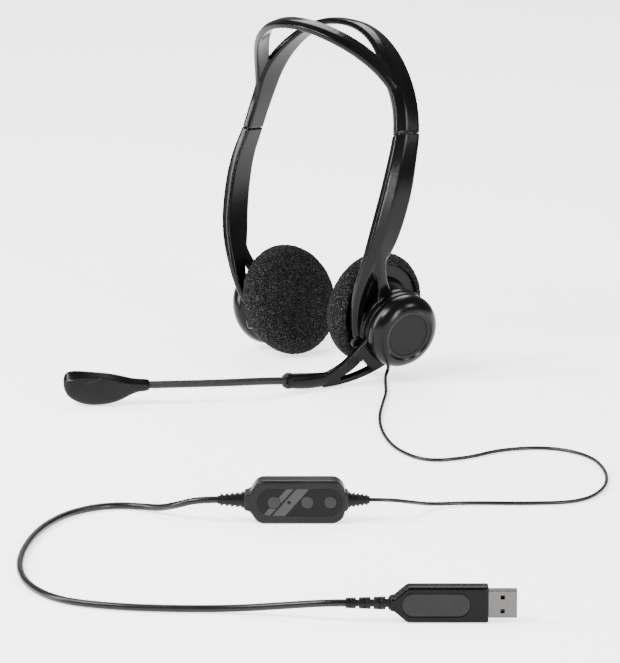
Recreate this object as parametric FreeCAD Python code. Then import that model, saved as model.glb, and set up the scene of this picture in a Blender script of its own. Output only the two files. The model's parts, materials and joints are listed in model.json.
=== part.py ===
"""A wired office headset: a split headband with two sliding arms, two foam ear pads that tilt on ball
studs, a swivelling boom with a flexible neck and a microphone, and a cord that carries an in-line
control with three keys and ends in a USB-A plug.

The headset is modelled upright, as it is worn, in millimetres: +X to the wearer's left, +Y to the back,
+Z up, with the origin midway between the ear pads. It is then leaned onto its three feet (the right
pad, the boom's root and the microphone) and moved so that it stands on Z = 0 with its own bounding
box centred on the Z axis. The cord, the control and the plug lie on Z = 0 and are modelled there.
"""

import FreeCAD, Part
import math
import os

from FreeCAD import Placement, Rotation, Vector

# ---------------------------------------------------------------- driving dimensions, millimetres
PAD_SPACING = 62.0  # between the middles of the two ear pads
PAD_TILT = 13.0  # degrees that each pad's outward axis points down
LEFT_HUB = (Vector(46.5, 1.2, -8.5), 20.0)  # its middle, and the degrees that it points down
RIGHT_HUB = (Vector(46.5, 0.5, -3.5), 12.0)  # the same, drawn on the left side
HUB_YAW = 8.0  # degrees that each hub points forward
LEAN_RIGHT = 6.2  # degrees, towards the wearer's right
LEAN_BACK = 6.0  # degrees, towards the wearer's back
STAND_SHIFT = Vector(3.84, 65.78, 31.37)  # from the leaned frame to the row's frame

PAD_R = 28.5
PAD_FRONT = -8.0
PAD_REAR = 8.0
BAFFLE_R = 23.0
BAFFLE_REAR = 6.0
SOFT_GAP = 0.3  # between foam and what it sits on, and round the hub's cap

HUB_R = 19.0
HUB_INNER = -3.0
HUB_OUTER = 1.2
BOSS_R = 10.0
BOSS_END = 5.4
RING_GAP = 0.1  # running clearance of the boom ring round its boss
RING_R = 18.8
RING_START = 1.4
RING_END = 5.0
CAP_START = 5.2
CAP_R = 19.2
CAP_HEIGHT = 9.0
CAP_CREST_R = 13.4  # the top of the cap's round shoulder
CAP_WALL = 1.8
BADGE_R = 10.9
BADGE_SEAT = 2.4  # the badge seat's depth under the crest

BALL_R = 2.5
BALL_DEPTH = 11.2  # from the pad's middle to the ball stud's ball, along the pad's axis
STUD_R = 1.3
SCREW_Y = -6.5  # the hub screw, below the hub's middle
SCREW_HEAD_R = 2.2
SCREW_HEAD_DEPTH = 1.3
BUSHING_OUT = 3.6  # out of the hub's rim
BUSHING_ANGLE = -84.0  # degrees round the left hub, from its back

JOINT_TOP = Vector(59.2, -3.3, 87.5)  # where the left arm slides into the headband
JOINT_GAP = 0.3
SLIDE_DIRECTION = Vector(8.7, -1.5, -24.5).normalize()  # the way the left arm slides out
TONGUE_WIDTH = 6.2
TONGUE_THICKNESS = 1.5
TONGUE_IN_BAND = 18.0
TONGUE_IN_ARM = 7.0
CHANNEL_CLEARANCE = 0.25

CORD_R = 0.9  # the headset's cord, from the left hub to the control
USB_CORD_R = 1.6  # the cord from the control to the plug
NECK_R = 1.9  # the boom's flexible neck
LEAD_R = 0.55  # the audio leads inside the mouldings
BAND_LEAD_DEPTH = 0.4
ARM_LEAD_DEPTH = 0.6

CONTROL_LENGTH = 47.0
CONTROL_HEIGHT = 20.0
CONTROL_DEPTH = 10.4
CONTROL_OUTLINE = [  # upper half: along, up, rounding
    (-23.5, 3.9, 1.5),
    (-20.8, 4.4, 3.0),
    (-17.0, 10.0, 5.0),
    (21.0, 10.0, 6.0),
    (22.0, 4.4, 0.6),
    (23.5, 3.8, 1.4),
]
CASE_ROUNDING = 1.3
CONTROL_WALL = 1.6
WINDOW_LENGTH = 38.4
WINDOW_HEIGHT = 12.6
WINDOW_X = 1.6  # the window's middle, from the control's
SCREW_PLACES = ((-15.0, 5.6), (17.6, 5.6))  # the control's case screws
KEYS = {"mute_key": -10.0, "volume_up_key": 5.0, "volume_down_key": 15.4}  # along the control
KEY_R = 2.8
KEY_TOP = 5.5  # from the control's middle plane
LENS_X = -3.2
RELIEF_NECK_R = 2.15
RIB_DEPTH = 0.55
FACING = 49.0  # degrees: the long axis of the control and of the plug, from +X towards +Y

PLUG_LENGTH = 34.8
PLUG_HEIGHT = 15.6
PLUG_DEPTH = 8.0
PLUG_NECK = 6.5  # the body's narrow end, past its length
PLUG_OUTLINE = [  # upper half: along, up, rounding
    (-23.9, 2.7, 0.5),
    (-22.2, 3.0, 1.6),
    (-16.6, 7.8, 3.4),
    (17.4, 7.8, 0.7),
]
INLAY_LENGTH = 28.4
INLAY_HEIGHT = 9.6
INLAY_X = -4.6
USB_RELIEF = 18.6
SHELL_WIDTH = 12.0  # USB-A's own sizes
SHELL_DEPTH = 4.5
SHELL_OUT = 12.0
SHELL_IN = 6.5
SHELL_WALL = 0.3

CONTROL_MIDDLE = Vector(226.0, -150.0, CONTROL_HEIGHT / 2)
PLUG_MIDDLE = Vector(388.5, -207.0, PLUG_HEIGHT / 2)

# The cords' routes between their ends, on the floor.
HEADSET_CORD_ROUTE = [
    (46.6, 64.6, 1.3),
    (51.0, 60.5, 1.1),
    (60.5, 52.0, 1.0),
    (74.0, 40.5, 1.0),
    (91.0, 22.5, 1.0),
    (111.0, 2.5, 1.0),
    (135.0, -16.5, 1.0),
    (162.0, -32.0, 1.0),
    (187.5, -36.0, 1.0),
    (195.5, -16.0, 1.0),
    (194.0, 6.5, 1.0),
    (206.0, 27.0, 1.0),
    (230.0, 30.0, 1.0),
    (256.0, 15.5, 1.0),
    (278.0, -6.0, 1.0),
    (289.0, -32.0, 1.0),
    (273.5, -54.0, 1.0),
    (256.0, -72.0, 1.0),
    (248.5, -89.0, 1.7),
    (254.0, -106.0, 6.8),
]
USB_CORD_ROUTE = [
    (188.0, -188.0, 6.6),
    (177.0, -188.5, 3.0),
    (166.0, -190.0, 1.7),
    (157.0, -196.5, 1.7),
    (152.0, -208.0, 1.7),
    (153.5, -226.0, 1.7),
    (166.0, -250.0, 1.7),
    (187.5, -275.5, 1.7),
    (211.0, -296.5, 1.7),
    (236.0, -310.5, 1.7),
    (262.0, -314.5, 1.7),
    (284.0, -303.0, 1.7),
    (303.0, -286.5, 1.7),
    (321.5, -266.0, 1.9),
    (341.0, -253.0, 5.2),
]

# Stations of the moulded strips on the left side: x, y, z, width, thickness, forward tilt in degrees.
REAR_BAND = [
    (60.0, -4.5, 83.0, 13.2, 5.6, 13),
    (59.2, -3.3, 87.5, 13.2, 5.6, 13),
    (57.2, -1.7, 96.0, 13.2, 5.6, 12),
    (53.8, -0.6, 105.5, 13.6, 5.4, 10),
    (48.2, -0.3, 116.5, 14.2, 5.0, 7),
    (40.5, 1.0, 126.3, 12.6, 4.6, 4),
    (30.5, 2.5, 134.4, 10.4, 4.2, 2),
    (17.5, 3.3, 140.4, 9.2, 3.8, 0),
    (0.0, 3.5, 142.8, 9.0, 3.6, 0),
]
FRONT_BAND = [
    (52.6, -3.0, 107.2, 7.0, 3.8, 10),
    (48.6, -6.2, 115.4, 7.8, 4.2, 13),
    (43.0, -11.4, 123.4, 8.3, 4.3, 18),
    (35.5, -17.8, 130.6, 8.6, 4.2, 23),
    (25.5, -24.4, 136.7, 8.7, 4.0, 26),
    (13.2, -29.2, 140.9, 8.6, 3.8, 26),
    (0.0, -31.0, 142.3, 8.6, 3.7, 26),
]
ARM = [
    (58.4, -2.6, 91.0, 13.4, 5.8, 13),
    (59.2, -3.3, 87.5, 13.4, 5.8, 13),
    (61.0, -7.0, 76.0, 14.2, 5.8, 13),
    (61.5, -10.0, 65.0, 15.4, 6.0, 13),
    (60.6, -12.8, 53.0, 16.0, 6.0, 13),
    (58.8, -15.2, 42.0, 16.0, 5.8, 12),
    (56.0, -17.4, 31.5, 14.6, 5.6, 10),
    (51.8, -20.0, 20.5, 10.6, 5.2, 8),
]
LEFT_REAR_PRONG = [
    (56.8, -16.5, 34.0, 9.0, 4.6, 10),
    (55.4, -17.0, 27.0, 8.0, 4.5, 8),
    (54.0, -15.6, 20.0, 6.4, 4.3, 4),
    (52.6, -12.8, 13.5, 5.8, 4.0, 0),
    (50.4, -9.6, 8.0, 7.6, 3.6, 0),
    (48.6, -7.0, 2.0, 12.0, 3.4, 0),
]
RIGHT_REAR_PRONG = [
    (56.8, -16.0, 36.0, 9.0, 4.6, 10),
    (55.2, -15.8, 30.0, 7.8, 4.5, 8),
    (53.0, -14.0, 23.0, 6.2, 4.2, 4),
    (50.0, -11.4, 16.5, 6.2, 3.6, 0),
    (47.5, -9.0, 11.0, 8.0, 3.4, 0),
    (46.3, -7.0, 5.0, 12.0, 3.2, 0),
]
LEFT_ARM_END = [
    (47.2, -21.4, 10.0, 8.0, 4.8, 4),
    (43.6, -20.8, 0.0, 7.0, 4.4, 0),
    (40.6, -18.2, -10.0, 6.4, 4.0, 0),
    (38.4, -13.4, -19.0, 5.4, 3.6, 0),
]
RIGHT_ARM_END = [
    (48.4, -20.4, 10.0, 7.6, 4.6, 4),
    (45.6, -18.2, 1.0, 7.0, 4.2, 0),
    (43.2, -13.6, -8.0, 6.4, 4.0, 0),
]
HEAD_MIDDLE_Z = 62.0

nodes = {}


# ---------------------------------------------------------------- helpers
def axes(origin, x_axis, y_axis, z_axis):
    """A placement whose own X, Y and Z lie along the three given directions."""
    return Placement(origin, Rotation(x_axis, y_axis, z_axis, "XYZ"))


def moved(shape, placement):
    """A copy of the shape, carried from its own frame by the placement."""
    copy = shape.copy()
    copy.Placement = placement.multiply(copy.Placement)
    return copy


def mirrored(shape):
    """The shape's twin on the wearer's other side."""
    return shape.mirror(Vector(0, 0, 0), Vector(1, 0, 0))


def fused(*shapes):
    """One solid from several that overlap."""
    result = shapes[0].multiFuse(list(shapes[1:])).removeSplitter()
    return result.Solids[0] if len(result.Solids) == 1 else result


def disc(radius, start, end, x=0.0, y=0.0):
    """A round bar along Z, from start to end."""
    return Part.makeCylinder(radius, end - start, Vector(x, y, start))


def ring(outer, inner, start, end):
    """A round washer along Z."""
    return disc(outer, start, end).cut(disc(inner, start - 1, end + 1))


def box(low, high):
    """A block between two corners."""
    size = Vector(*high).sub(Vector(*low))
    return Part.makeBox(size.x, size.y, size.z, Vector(*low))


def arc(start, middle, end):
    """An arc in the XY plane through three (x, y) points."""
    return Part.Arc(Vector(*start, 0), Vector(*middle, 0), Vector(*end, 0)).toShape()


def line(start, end):
    """A straight edge in the XY plane between two (x, y) points."""
    return Part.LineSegment(Vector(*start, 0), Vector(*end, 0)).toShape()


def rounded_outline(points, radii):
    """A closed wire through 2-D corners in the XY plane, with one rounding for all or one for each."""
    corners = [Vector(x, y, 0) for x, y in points]
    if not isinstance(radii, list):
        radii = [radii] * len(corners)
    ends = []
    for i, (corner, radius) in enumerate(zip(corners, radii)):
        to_last = corners[i - 1].sub(corner)
        to_next = corners[(i + 1) % len(corners)].sub(corner)
        half = to_last.getAngle(to_next) / 2
        cut = radius / math.tan(half)
        middle = to_last.normalize().add(to_next.normalize()).normalize()
        bulge = corner.add(middle * (radius / math.sin(half) - radius))
        ends.append((corner.add(to_last * cut), bulge, corner.add(to_next * cut)))
    edges = []
    for i, (start, bulge, end) in enumerate(ends):
        edges.append(Part.Arc(start, bulge, end).toShape())
        edges.append(Part.LineSegment(end, ends[(i + 1) % len(ends)][0]).toShape())
    return Part.Wire(edges)


def plate(wire, start, end):
    """A flat plate of the wire's outline, from start to end along Z."""
    face = Part.Face(wire)
    face.translate(Vector(0, 0, start))
    return face.extrude(Vector(0, 0, end - start))


def rounded_box(length, width, start, end, radius, x=0.0, y=0.0):
    """A block with rounded upright edges, centred on x and y."""
    half_l, half_w = length / 2, width / 2
    corners = [(-half_l, -half_w), (half_l, -half_w), (half_l, half_w), (-half_l, half_w)]
    solid = plate(rounded_outline(corners, radius), start, end)
    solid.translate(Vector(x, y, 0))
    return solid


def symmetric(upper):
    """A wire from the upper half of an outline: x, y and rounding at each corner, from -X to +X."""
    corners = [(x, -y, r) for x, y, r in upper] + upper[::-1]
    return rounded_outline([(x, y) for x, y, _ in corners], [r for _, _, r in corners])


def softened(solid, radius, chosen):
    """The solid with the chosen edges rounded."""
    edges = [e for e in solid.Edges if chosen(e)]
    return solid.makeFillet(radius, edges)


def revolved(wire_edges):
    """A turned solid about Z, from edges in the XZ plane that close on themselves."""
    face = Part.Face(Part.Wire(wire_edges))
    return face.revolve(Vector(0, 0, 0), Vector(0, 0, 1), 360)


def profile(points):
    """Straight edges through (r, z) points, closed."""
    corners = [Vector(r, 0, z) for r, z in points]
    return [
        Part.LineSegment(a, b).toShape() for a, b in zip(corners, corners[1:] + corners[:1])
    ]


def strip_frames(stations):
    """The centre, backward width direction and outward direction at each station of a strip."""
    centres = [Vector(*s[:3]) for s in stations]
    found = []
    for i, station in enumerate(stations):
        along = centres[min(i + 1, len(centres) - 1)].sub(centres[max(i - 1, 0)]).normalize()
        outward = centres[i].sub(Vector(0, centres[i].y, HEAD_MIDDLE_Z))
        outward = outward.sub(along * outward.dot(along)).normalize()
        across = along.cross(outward)
        if across.y < 0:
            across = across * -1
        tilt = math.radians(station[5])
        normal = outward * math.cos(tilt) - across * math.sin(tilt)
        width = across * math.cos(tilt) + outward * math.sin(tilt)
        found.append((centres[i], width, normal))
    return found


def roof_section(width, thickness, frame):
    """A strip's cross-section: flat towards the head, and a low ridge outside, just before the middle."""
    centre, across, normal = frame
    side, low, top = width / 2, -thickness / 2, thickness / 2
    eave = top - 0.22 * thickness
    corners = [(-side, low), (side, low), (side, eave), (-0.12 * width, top), (-side, eave)]
    wire = rounded_outline(corners, 0.16 * thickness)
    return moved(wire, axes(centre, across, normal, across.cross(normal)))


def strip(stations):
    """A moulded strip through its stations."""
    frames = strip_frames(stations)
    wires = [roof_section(s[3], s[4], f) for s, f in zip(stations, frames)]
    return Part.makeLoft(wires, True, False)


def both_sides(stations):
    """Stations from the left end over the top to the right end."""
    return stations + [(-s[0],) + s[1:] for s in reversed(stations[:-1])]


def route_wire(points, report=None):
    """Straight runs through the points, joined by tangent arcs as large as the runs allow."""
    spots = [Vector(*p) for p in points]
    edges, start, radii = [], spots[0], []
    for before, corner, after in zip(spots, spots[1:], spots[2:]):
        back, ahead = before.sub(corner), after.sub(corner)
        cut = 0.45 * min(back.Length, ahead.Length)
        half = back.getAngle(ahead) / 2
        radius = cut * math.tan(half)
        radii.append(round(radius, 1))
        enter, leave = corner + back.normalize() * cut, corner + ahead.normalize() * cut
        middle = (back + ahead).normalize() * (radius / math.sin(half) - radius)
        edges.append(Part.LineSegment(start, enter).toShape())
        edges.append(Part.Arc(enter, corner + middle, leave).toShape())
        start = leave
    edges.append(Part.LineSegment(start, spots[-1]).toShape())
    if report:
        length = sum(e.Length for e in edges)
        print(f"{report}: {length:.0f} mm long, bend radii {radii}")
    return Part.Wire(edges)


def tube(points, radius, report=None):
    """A round cord along a route."""
    path = route_wire(points, report)
    first = Vector(*points[1]).sub(Vector(*points[0]))
    circle = Part.Wire(Part.makeCircle(radius, Vector(*points[0]), first))
    solid = Part.Solid(path.makePipeShell([circle], True, False))
    if report:
        share = solid.Volume / (math.pi * radius**2 * path.Length)
        print(f"{report}: volume is {share:.4f} of section times length")
    return solid


# ---------------------------------------------------------------- frames of the left side
def side_frame(centre, tilt, yaw=0.0):
    """A frame at a cup: its own Z outward, X to the back and Y up in the cup's plane."""
    down, forward = math.radians(tilt), math.radians(yaw)
    back = Vector(math.sin(forward), math.cos(forward), 0)
    level = Vector(math.cos(forward), -math.sin(forward), 0)
    outward = level * math.cos(down) - Vector(0, 0, math.sin(down))
    return axes(centre, back, outward.cross(back), outward)


PAD_FRAME = side_frame(Vector(PAD_SPACING / 2, 0, 0), PAD_TILT)
LEFT_HUB_FRAME = side_frame(*LEFT_HUB, HUB_YAW)
RIGHT_HUB_FRAME = side_frame(*RIGHT_HUB, HUB_YAW)  # before it is mirrored
BALL = PAD_FRAME.multVec(Vector(0, 0, BALL_DEPTH))


def on_boom(shape):
    """From the left hub's own frame, where the boom is drawn, to the upright frame."""
    return moved(shape, LEFT_HUB_FRAME)


def slide_frame():
    """A frame at the left sliding joint: Z up into the headband, X across the strip, Y outward."""
    up = SLIDE_DIRECTION * -1
    _, across, outward = strip_frames(REAR_BAND)[0]
    across = across.sub(up * across.dot(up)).normalize()
    return axes(JOINT_TOP, across, up.cross(across), up)


SLIDE_FRAME = slide_frame()
OUTSIDE = -1 if SLIDE_FRAME.Rotation.multVec(Vector(0, 1, 0)).x < 0 else 1


# ---------------------------------------------------------------- headband and sliders
def tongue_block(extra, bottom, top):
    """The steel tongue's shape, or with extra room all round the channel that it slides in."""
    half_w = TONGUE_WIDTH / 2 + extra
    half_t = TONGUE_THICKNESS / 2 + extra
    return box((-half_w, -half_t, bottom), (half_w, half_t, top))


def detent_block(extra):
    """A leaf spring beside the tongue, on the strip's outer side."""
    near = TONGUE_THICKNESS / 2 + 0.12
    low, high = sorted((OUTSIDE * (near - extra), OUTSIDE * (near + 0.5 + extra)))
    return box((-1.6 - extra, low, 3 - extra), (1.6 + extra, high, 11 + extra))


def headband():
    bands = fused(strip(both_sides(REAR_BAND)), strip(both_sides(FRONT_BAND)))
    channel = moved(
        tongue_block(CHANNEL_CLEARANCE, -2, TONGUE_IN_BAND + 1).fuse(detent_block(0.05)), SLIDE_FRAME
    )
    way = lead(both_sides(REAR_BAND[4:]), BAND_LEAD_DEPTH, LEAD_R + 0.1)
    below = moved(box((-20, -20, -30), (20, 20, 0)), SLIDE_FRAME)
    for spare in (below, mirrored(below), channel, mirrored(channel), way):
        bands = bands.cut(spare)
    return bands


def arm(hub_frame, front_prong, rear_prong):
    """An arm: a strip that forks into two prongs, and the hub plate that they hold."""
    rail = strip(ARM + front_prong)
    hub = softened(
        disc(HUB_R, HUB_INNER, HUB_OUTER), 0.6, lambda e: e.BoundBox.DiagonalLength > HUB_R
    )
    boss = disc(BOSS_R, HUB_OUTER - 0.5, BOSS_END)
    bridge = rounded_box(10, 6, HUB_INNER, 0.0, 2, -17.5, -9)
    solid = fused(rail, strip(rear_prong), moved(fused(hub, boss, bridge), hub_frame))
    above = moved(box((-20, -20, -JOINT_GAP), (20, 20, 30)), SLIDE_FRAME)
    ring_room = moved(ring(CAP_R + SOFT_GAP, BOSS_R, HUB_OUTER, CAP_START + CAP_HEIGHT), hub_frame)
    pocket = moved(tongue_block(0.0, -TONGUE_IN_ARM - JOINT_GAP, 0.0), SLIDE_FRAME)
    sunk = disc(SCREW_HEAD_R + 0.05, HUB_INNER - 1, HUB_INNER + SCREW_HEAD_DEPTH, 0, SCREW_Y)
    bore = moved(disc(1.5, HUB_INNER - 1, BOSS_END + 1, 0, SCREW_Y).fuse(sunk), hub_frame)
    way = lead(ARM[3:7], ARM_LEAD_DEPTH, LEAD_R + 0.1)
    for spare in (above, ring_room, pocket, bore, ball_stud(hub_frame), way):
        solid = solid.cut(spare)
    return solid


def stud_frame(hub_frame):
    """At the hub plate's inner face, level with the pad's ball, with Z outward."""
    local = hub_frame.inverse().multVec(BALL)
    return hub_frame.multiply(Placement(Vector(local.x, local.y, HUB_INNER), Rotation()))


def ball_stud(hub_frame):
    """A pin pressed into the hub plate, with the ball that the ear pad tilts on."""
    depth = hub_frame.inverse().multVec(BALL).z - HUB_INNER
    pin = disc(STUD_R, depth, 5.0)
    return moved(fused(pin, Part.makeSphere(BALL_R, Vector(0, 0, depth))), stud_frame(hub_frame))


# ---------------------------------------------------------------- ear pads
def ear_foam():
    """A round foam pouch: a crowned face to the ear, and a lip that wraps round the baffle."""
    seat = BAFFLE_R + SOFT_GAP
    seat_depth = BAFFLE_REAR - 1.8 - SOFT_GAP
    edges = [
        Part.Arc(Vector(0, 0, PAD_FRONT), Vector(13, 0, -7.6), Vector(23, 0, -6.0)).toShape(),
        Part.Arc(Vector(23, 0, -6.0), Vector(PAD_R, 0, 0.4), Vector(25.2, 0, PAD_REAR)).toShape(),
        Part.LineSegment(Vector(25.2, 0, PAD_REAR), Vector(seat, 0, PAD_REAR)).toShape(),
        Part.LineSegment(Vector(seat, 0, PAD_REAR), Vector(seat, 0, seat_depth)).toShape(),
        Part.LineSegment(Vector(seat, 0, seat_depth), Vector(0, 0, seat_depth)).toShape(),
        Part.LineSegment(Vector(0, 0, seat_depth), Vector(0, 0, PAD_FRONT)).toShape(),
    ]
    return revolved(edges)


def baffle():
    """The plate that the foam is stretched over, with sound holes before the driver."""
    solid = disc(BAFFLE_R, BAFFLE_REAR - 1.8, BAFFLE_REAR)
    holes = [disc(0.9, 0, 9)]
    for count, radius in ((6, 4.5), (12, 9.0)):
        for i in range(count):
            angle = 2 * math.pi * i / count
            holes.append(disc(0.9, 0, 9, radius * math.cos(angle), radius * math.sin(angle)))
    return solid.cut(Part.makeCompound(holes))


def driver():
    """The loudspeaker: a basket with a diaphragm, and its magnet behind."""
    return fused(disc(14.5, 6.1, 6.9), disc(8.0, 6.9, 8.7))


def driver_cover():
    """The housing behind the driver, with the socket for the ball stud."""
    outside = revolved(profile([(0, 6), (17.4, 6), (17.4, 7.0), (15.4, 9.8), (0, 9.8)]))
    inside = revolved(profile([(0, 5), (15.0, 5), (15.0, 7.4), (12.0, 8.9), (0, 8.9)]))
    socket = disc(4.6, 9.0, BALL_DEPTH + 0.8)
    cup = fused(outside.cut(inside), socket)
    return cup.cut(Part.makeSphere(BALL_R + 0.05, Vector(0, 0, BALL_DEPTH)))


# ---------------------------------------------------------------- hub caps
def hub_cap():
    """The domed cap outside a hub: a broad round shoulder, and a sunk seat for the badge."""
    top = CAP_START + CAP_HEIGHT
    seat_r, seat = BADGE_R + 0.15, top - BADGE_SEAT
    corners = [(CAP_CREST_R, top), (seat_r + 1.4, top - 0.7), (seat_r, top - 0.9), (seat_r, seat)]
    corners += [(0, seat), (0, CAP_START), (CAP_R - 0.3, CAP_START), (CAP_R, CAP_START + 1.4)]
    spots = [Vector(r, 0, z) for r, z in corners]
    outer = [Part.LineSegment(a, b).toShape() for a, b in zip(spots, spots[1:])]
    shoulder = Vector(CAP_R - 1.5, 0, top - 2.9)
    outer.append(Part.Arc(spots[-1], shoulder, spots[0]).toShape())
    rim_room = disc(CAP_R - CAP_WALL, CAP_START - 1, CAP_START + 3.4)
    inside = rim_room.fuse(disc(BADGE_R - 0.5, CAP_START, seat - 1.4))
    post = disc(3.2, CAP_START + 0.3, seat - 1.0, 0, SCREW_Y)
    post = post.cut(disc(1.2, CAP_START, seat - 1.6, 0, SCREW_Y))
    return fused(revolved(outer).cut(inside), post)


def badge():
    """The plain inlay in a hub cap."""
    top = CAP_START + CAP_HEIGHT
    face = top - 0.9
    solid = disc(BADGE_R, top - BADGE_SEAT, face)
    return softened(solid, 0.3, lambda e: e.BoundBox.ZMin > face - 0.1)


def hub_screw():
    """The screw that holds a hub cap, from the pad's side."""
    head = disc(SCREW_HEAD_R, HUB_INNER, HUB_INNER + SCREW_HEAD_DEPTH, 0, SCREW_Y)
    slot = box((-1.6, SCREW_Y - 0.3, HUB_INNER - 1), (1.6, SCREW_Y + 0.3, HUB_INNER + 0.6))
    return fused(head, disc(1.15, HUB_INNER, CAP_START + 3.6, 0, SCREW_Y)).cut(slot)


def hub_spacer():
    """The fixed ring that fills the right hub where the left one has the boom's ring."""
    return ring(RING_R, BOSS_R, HUB_OUTER, CAP_START)


def cord_bushing_frame():
    """At the rim of the left hub, low down, with Z pointing out of the hub."""
    angle = math.radians(BUSHING_ANGLE)
    outward = Vector(math.cos(angle), math.sin(angle), 0)
    axis = Vector(0, 0, 1)
    place = axes(outward * HUB_R - axis * 0.8, axis, outward.cross(axis), outward)
    return LEFT_HUB_FRAME.multiply(place)


def cord_bushing():
    """The short sleeve that the cord leaves the left hub through."""
    sleeve = revolved(profile([(0, -2.0), (2.2, -2.0), (2.2, 1.6), (1.7, BUSHING_OUT), (0, BUSHING_OUT)]))
    return moved(sleeve, cord_bushing_frame())


# ---------------------------------------------------------------- boom and microphone
BOOM_ROOT = [  # back and up in the hub's plane, half height, half depth
    (-35.0, -26.6, 3.7, 1.7),
    (-42.0, -27.2, 4.0, 2.6),
    (-50.0, -27.3, 4.1, 3.4),
    (-58.0, -26.9, 3.8, 3.8),
]
BOOM_ROOT_MIDDLE = 3.2  # along the hub's axis
WEB_ROUNDING = 1.0


def boom_bracket():
    """The ring round the left hub, and a forked web that runs forward into the boom's round root."""
    outline = Part.Wire(
        [
            line((-9.0, 10.0), (6.0, -13.0)),
            arc((6.0, -13.0), (-19.0, -27.4), (-38.0, -31.0)),
            line((-38.0, -31.0), (-38.0, -23.6)),
            arc((-38.0, -23.6), (-31.6, -20.4), (-26.0, -15.5)),
            arc((-26.0, -15.5), (-18.6, -7.0), (-9.0, 10.0)),
        ]
    )
    window = Part.Wire(
        [
            arc((-18.4, -16.2), (-23.0, -21.4), (-29.6, -25.6)),
            line((-29.6, -25.6), (-29.0, -27.0)),
            arc((-29.0, -27.0), (-20.5, -24.8), (-12.4, -21.4)),
            line((-12.4, -21.4), (-18.4, -16.2)),
        ]
    )
    round_part = disc(RING_R, RING_START, RING_END)
    round_part.rotate(Vector(0, 0, 0), Vector(0, 0, 1), 45)
    web = fused(plate(outline, RING_START, RING_END), round_part)
    web = softened(web, WEB_ROUNDING, lambda e: not is_upright(e))
    web = web.cut(plate(window, 0, 10)).cut(disc(BOSS_R + RING_GAP, 0, 10))
    return fused(web, boom_root())


def is_upright(edge):
    """Whether an edge runs straight along Z."""
    return edge.BoundBox.XLength < 1e-6 and edge.BoundBox.YLength < 1e-6


def boom_root():
    """The root that the flexible neck comes out of: an upright oval that turns into a round."""
    centres = [Vector(x, y, BOOM_ROOT_MIDDLE) for x, y, _, _ in BOOM_ROOT]
    last = len(centres) - 1
    wires = []
    for i, (_, _, high, deep) in enumerate(BOOM_ROOT):
        along = centres[min(i + 1, last)].sub(centres[max(i - 1, 0)]).normalize()
        upward = Vector(0, 0, 1).cross(along)
        oval = Part.Ellipse(Vector(0, 0, 0), high, deep - 0.001).toShape()
        wires.append(moved(Part.Wire(oval), axes(centres[i], upward, along.cross(upward), along)))
    return Part.makeLoft(wires, True, False)


def neck_start():
    """Where the neck leaves the boom's root, upright frame, and its direction there."""
    before, tip = (Vector(x, y, BOOM_ROOT_MIDDLE) for x, y, _, _ in BOOM_ROOT[-2:])
    start = LEFT_HUB_FRAME.multVec(tip)
    return start, start.sub(LEFT_HUB_FRAME.multVec(before)).normalize()


NECK_PIVOT = Vector(26.0, -98.0, -34.4)  # where the flexible neck bends
NECK_END = Vector(5.0, -123.5, -35.3)
NECK_SOCKET = 1.4  # from the pivot to the far half's end, so that it clears the near half


def neck_points():
    """The neck's route from the boom's root to the microphone."""
    start, direction = neck_start()
    return [start, start + direction * 12, NECK_PIVOT]


def boom_collar():
    """The ferrule on the boom's root."""
    start, direction = neck_start()
    frame = Placement(start, Rotation(Vector(0, 0, 1), direction))
    body = revolved(profile([(NECK_R, 0.0), (4.1, 0.0), (4.1, 1.6), (3.4, 3.0), (NECK_R, 3.0)]))
    return moved(body, frame)


def gooseneck_lower():
    """The neck's near half, with a ball end in its middle."""
    points = neck_points()
    ball = Part.makeSphere(NECK_R, NECK_PIVOT, points[-1].sub(points[-2]))
    return fused(tube([tuple(p) for p in points], NECK_R, "gooseneck"), ball)


def gooseneck_upper():
    """The neck's far half, hollowed at its near end to turn on the ball."""
    along = NECK_END.sub(NECK_PIVOT).normalize()
    start = NECK_PIVOT + along * NECK_SOCKET
    body = Part.makeCylinder(NECK_R, NECK_END.sub(start).Length + 4, start, along)
    return body.cut(Part.makeSphere(NECK_R + 0.04, NECK_PIVOT))


def mic_frame():
    """At the microphone's neck: X towards its tip, Y down, Z to the wearer's left."""
    along = NECK_END.sub(NECK_PIVOT).normalize()
    side = along.cross(Vector(0, 0, -1)).normalize()
    return axes(NECK_END, along, side.cross(along), side)


MIC_STATIONS = [  # distance from the neck, drop of the middle, half height, half depth
    (0.0, 0.0, 2.6, 2.6),
    (6.0, 0.0, 3.3, 3.0),
    (12.0, 0.9, 5.4, 3.9),
    (18.0, 1.4, 7.3, 4.6),
    (24.0, 1.4, 8.1, 4.9),
    (31.0, 0.9, 8.3, 4.8),
    (37.0, -0.3, 7.3, 4.3),
    (40.2, -1.5, 5.6, 3.4),
    (41.2, -2.0, 3.6, 2.2),
]


def mic_body(inset):
    """The microphone's paddle-shaped outside, or its hollow when inset."""
    wires = []
    for along, drop, half_h, half_d in MIC_STATIONS:
        oval = Part.Ellipse(Vector(0, 0, 0), half_h - inset, half_d - inset - 0.001).toShape()
        place = axes(Vector(along, drop, 0), Vector(0, 1, 0), Vector(0, 0, 1), Vector(1, 0, 0))
        wires.append(moved(Part.Wire(oval), place))
    return Part.makeLoft(wires, True, False)


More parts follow.
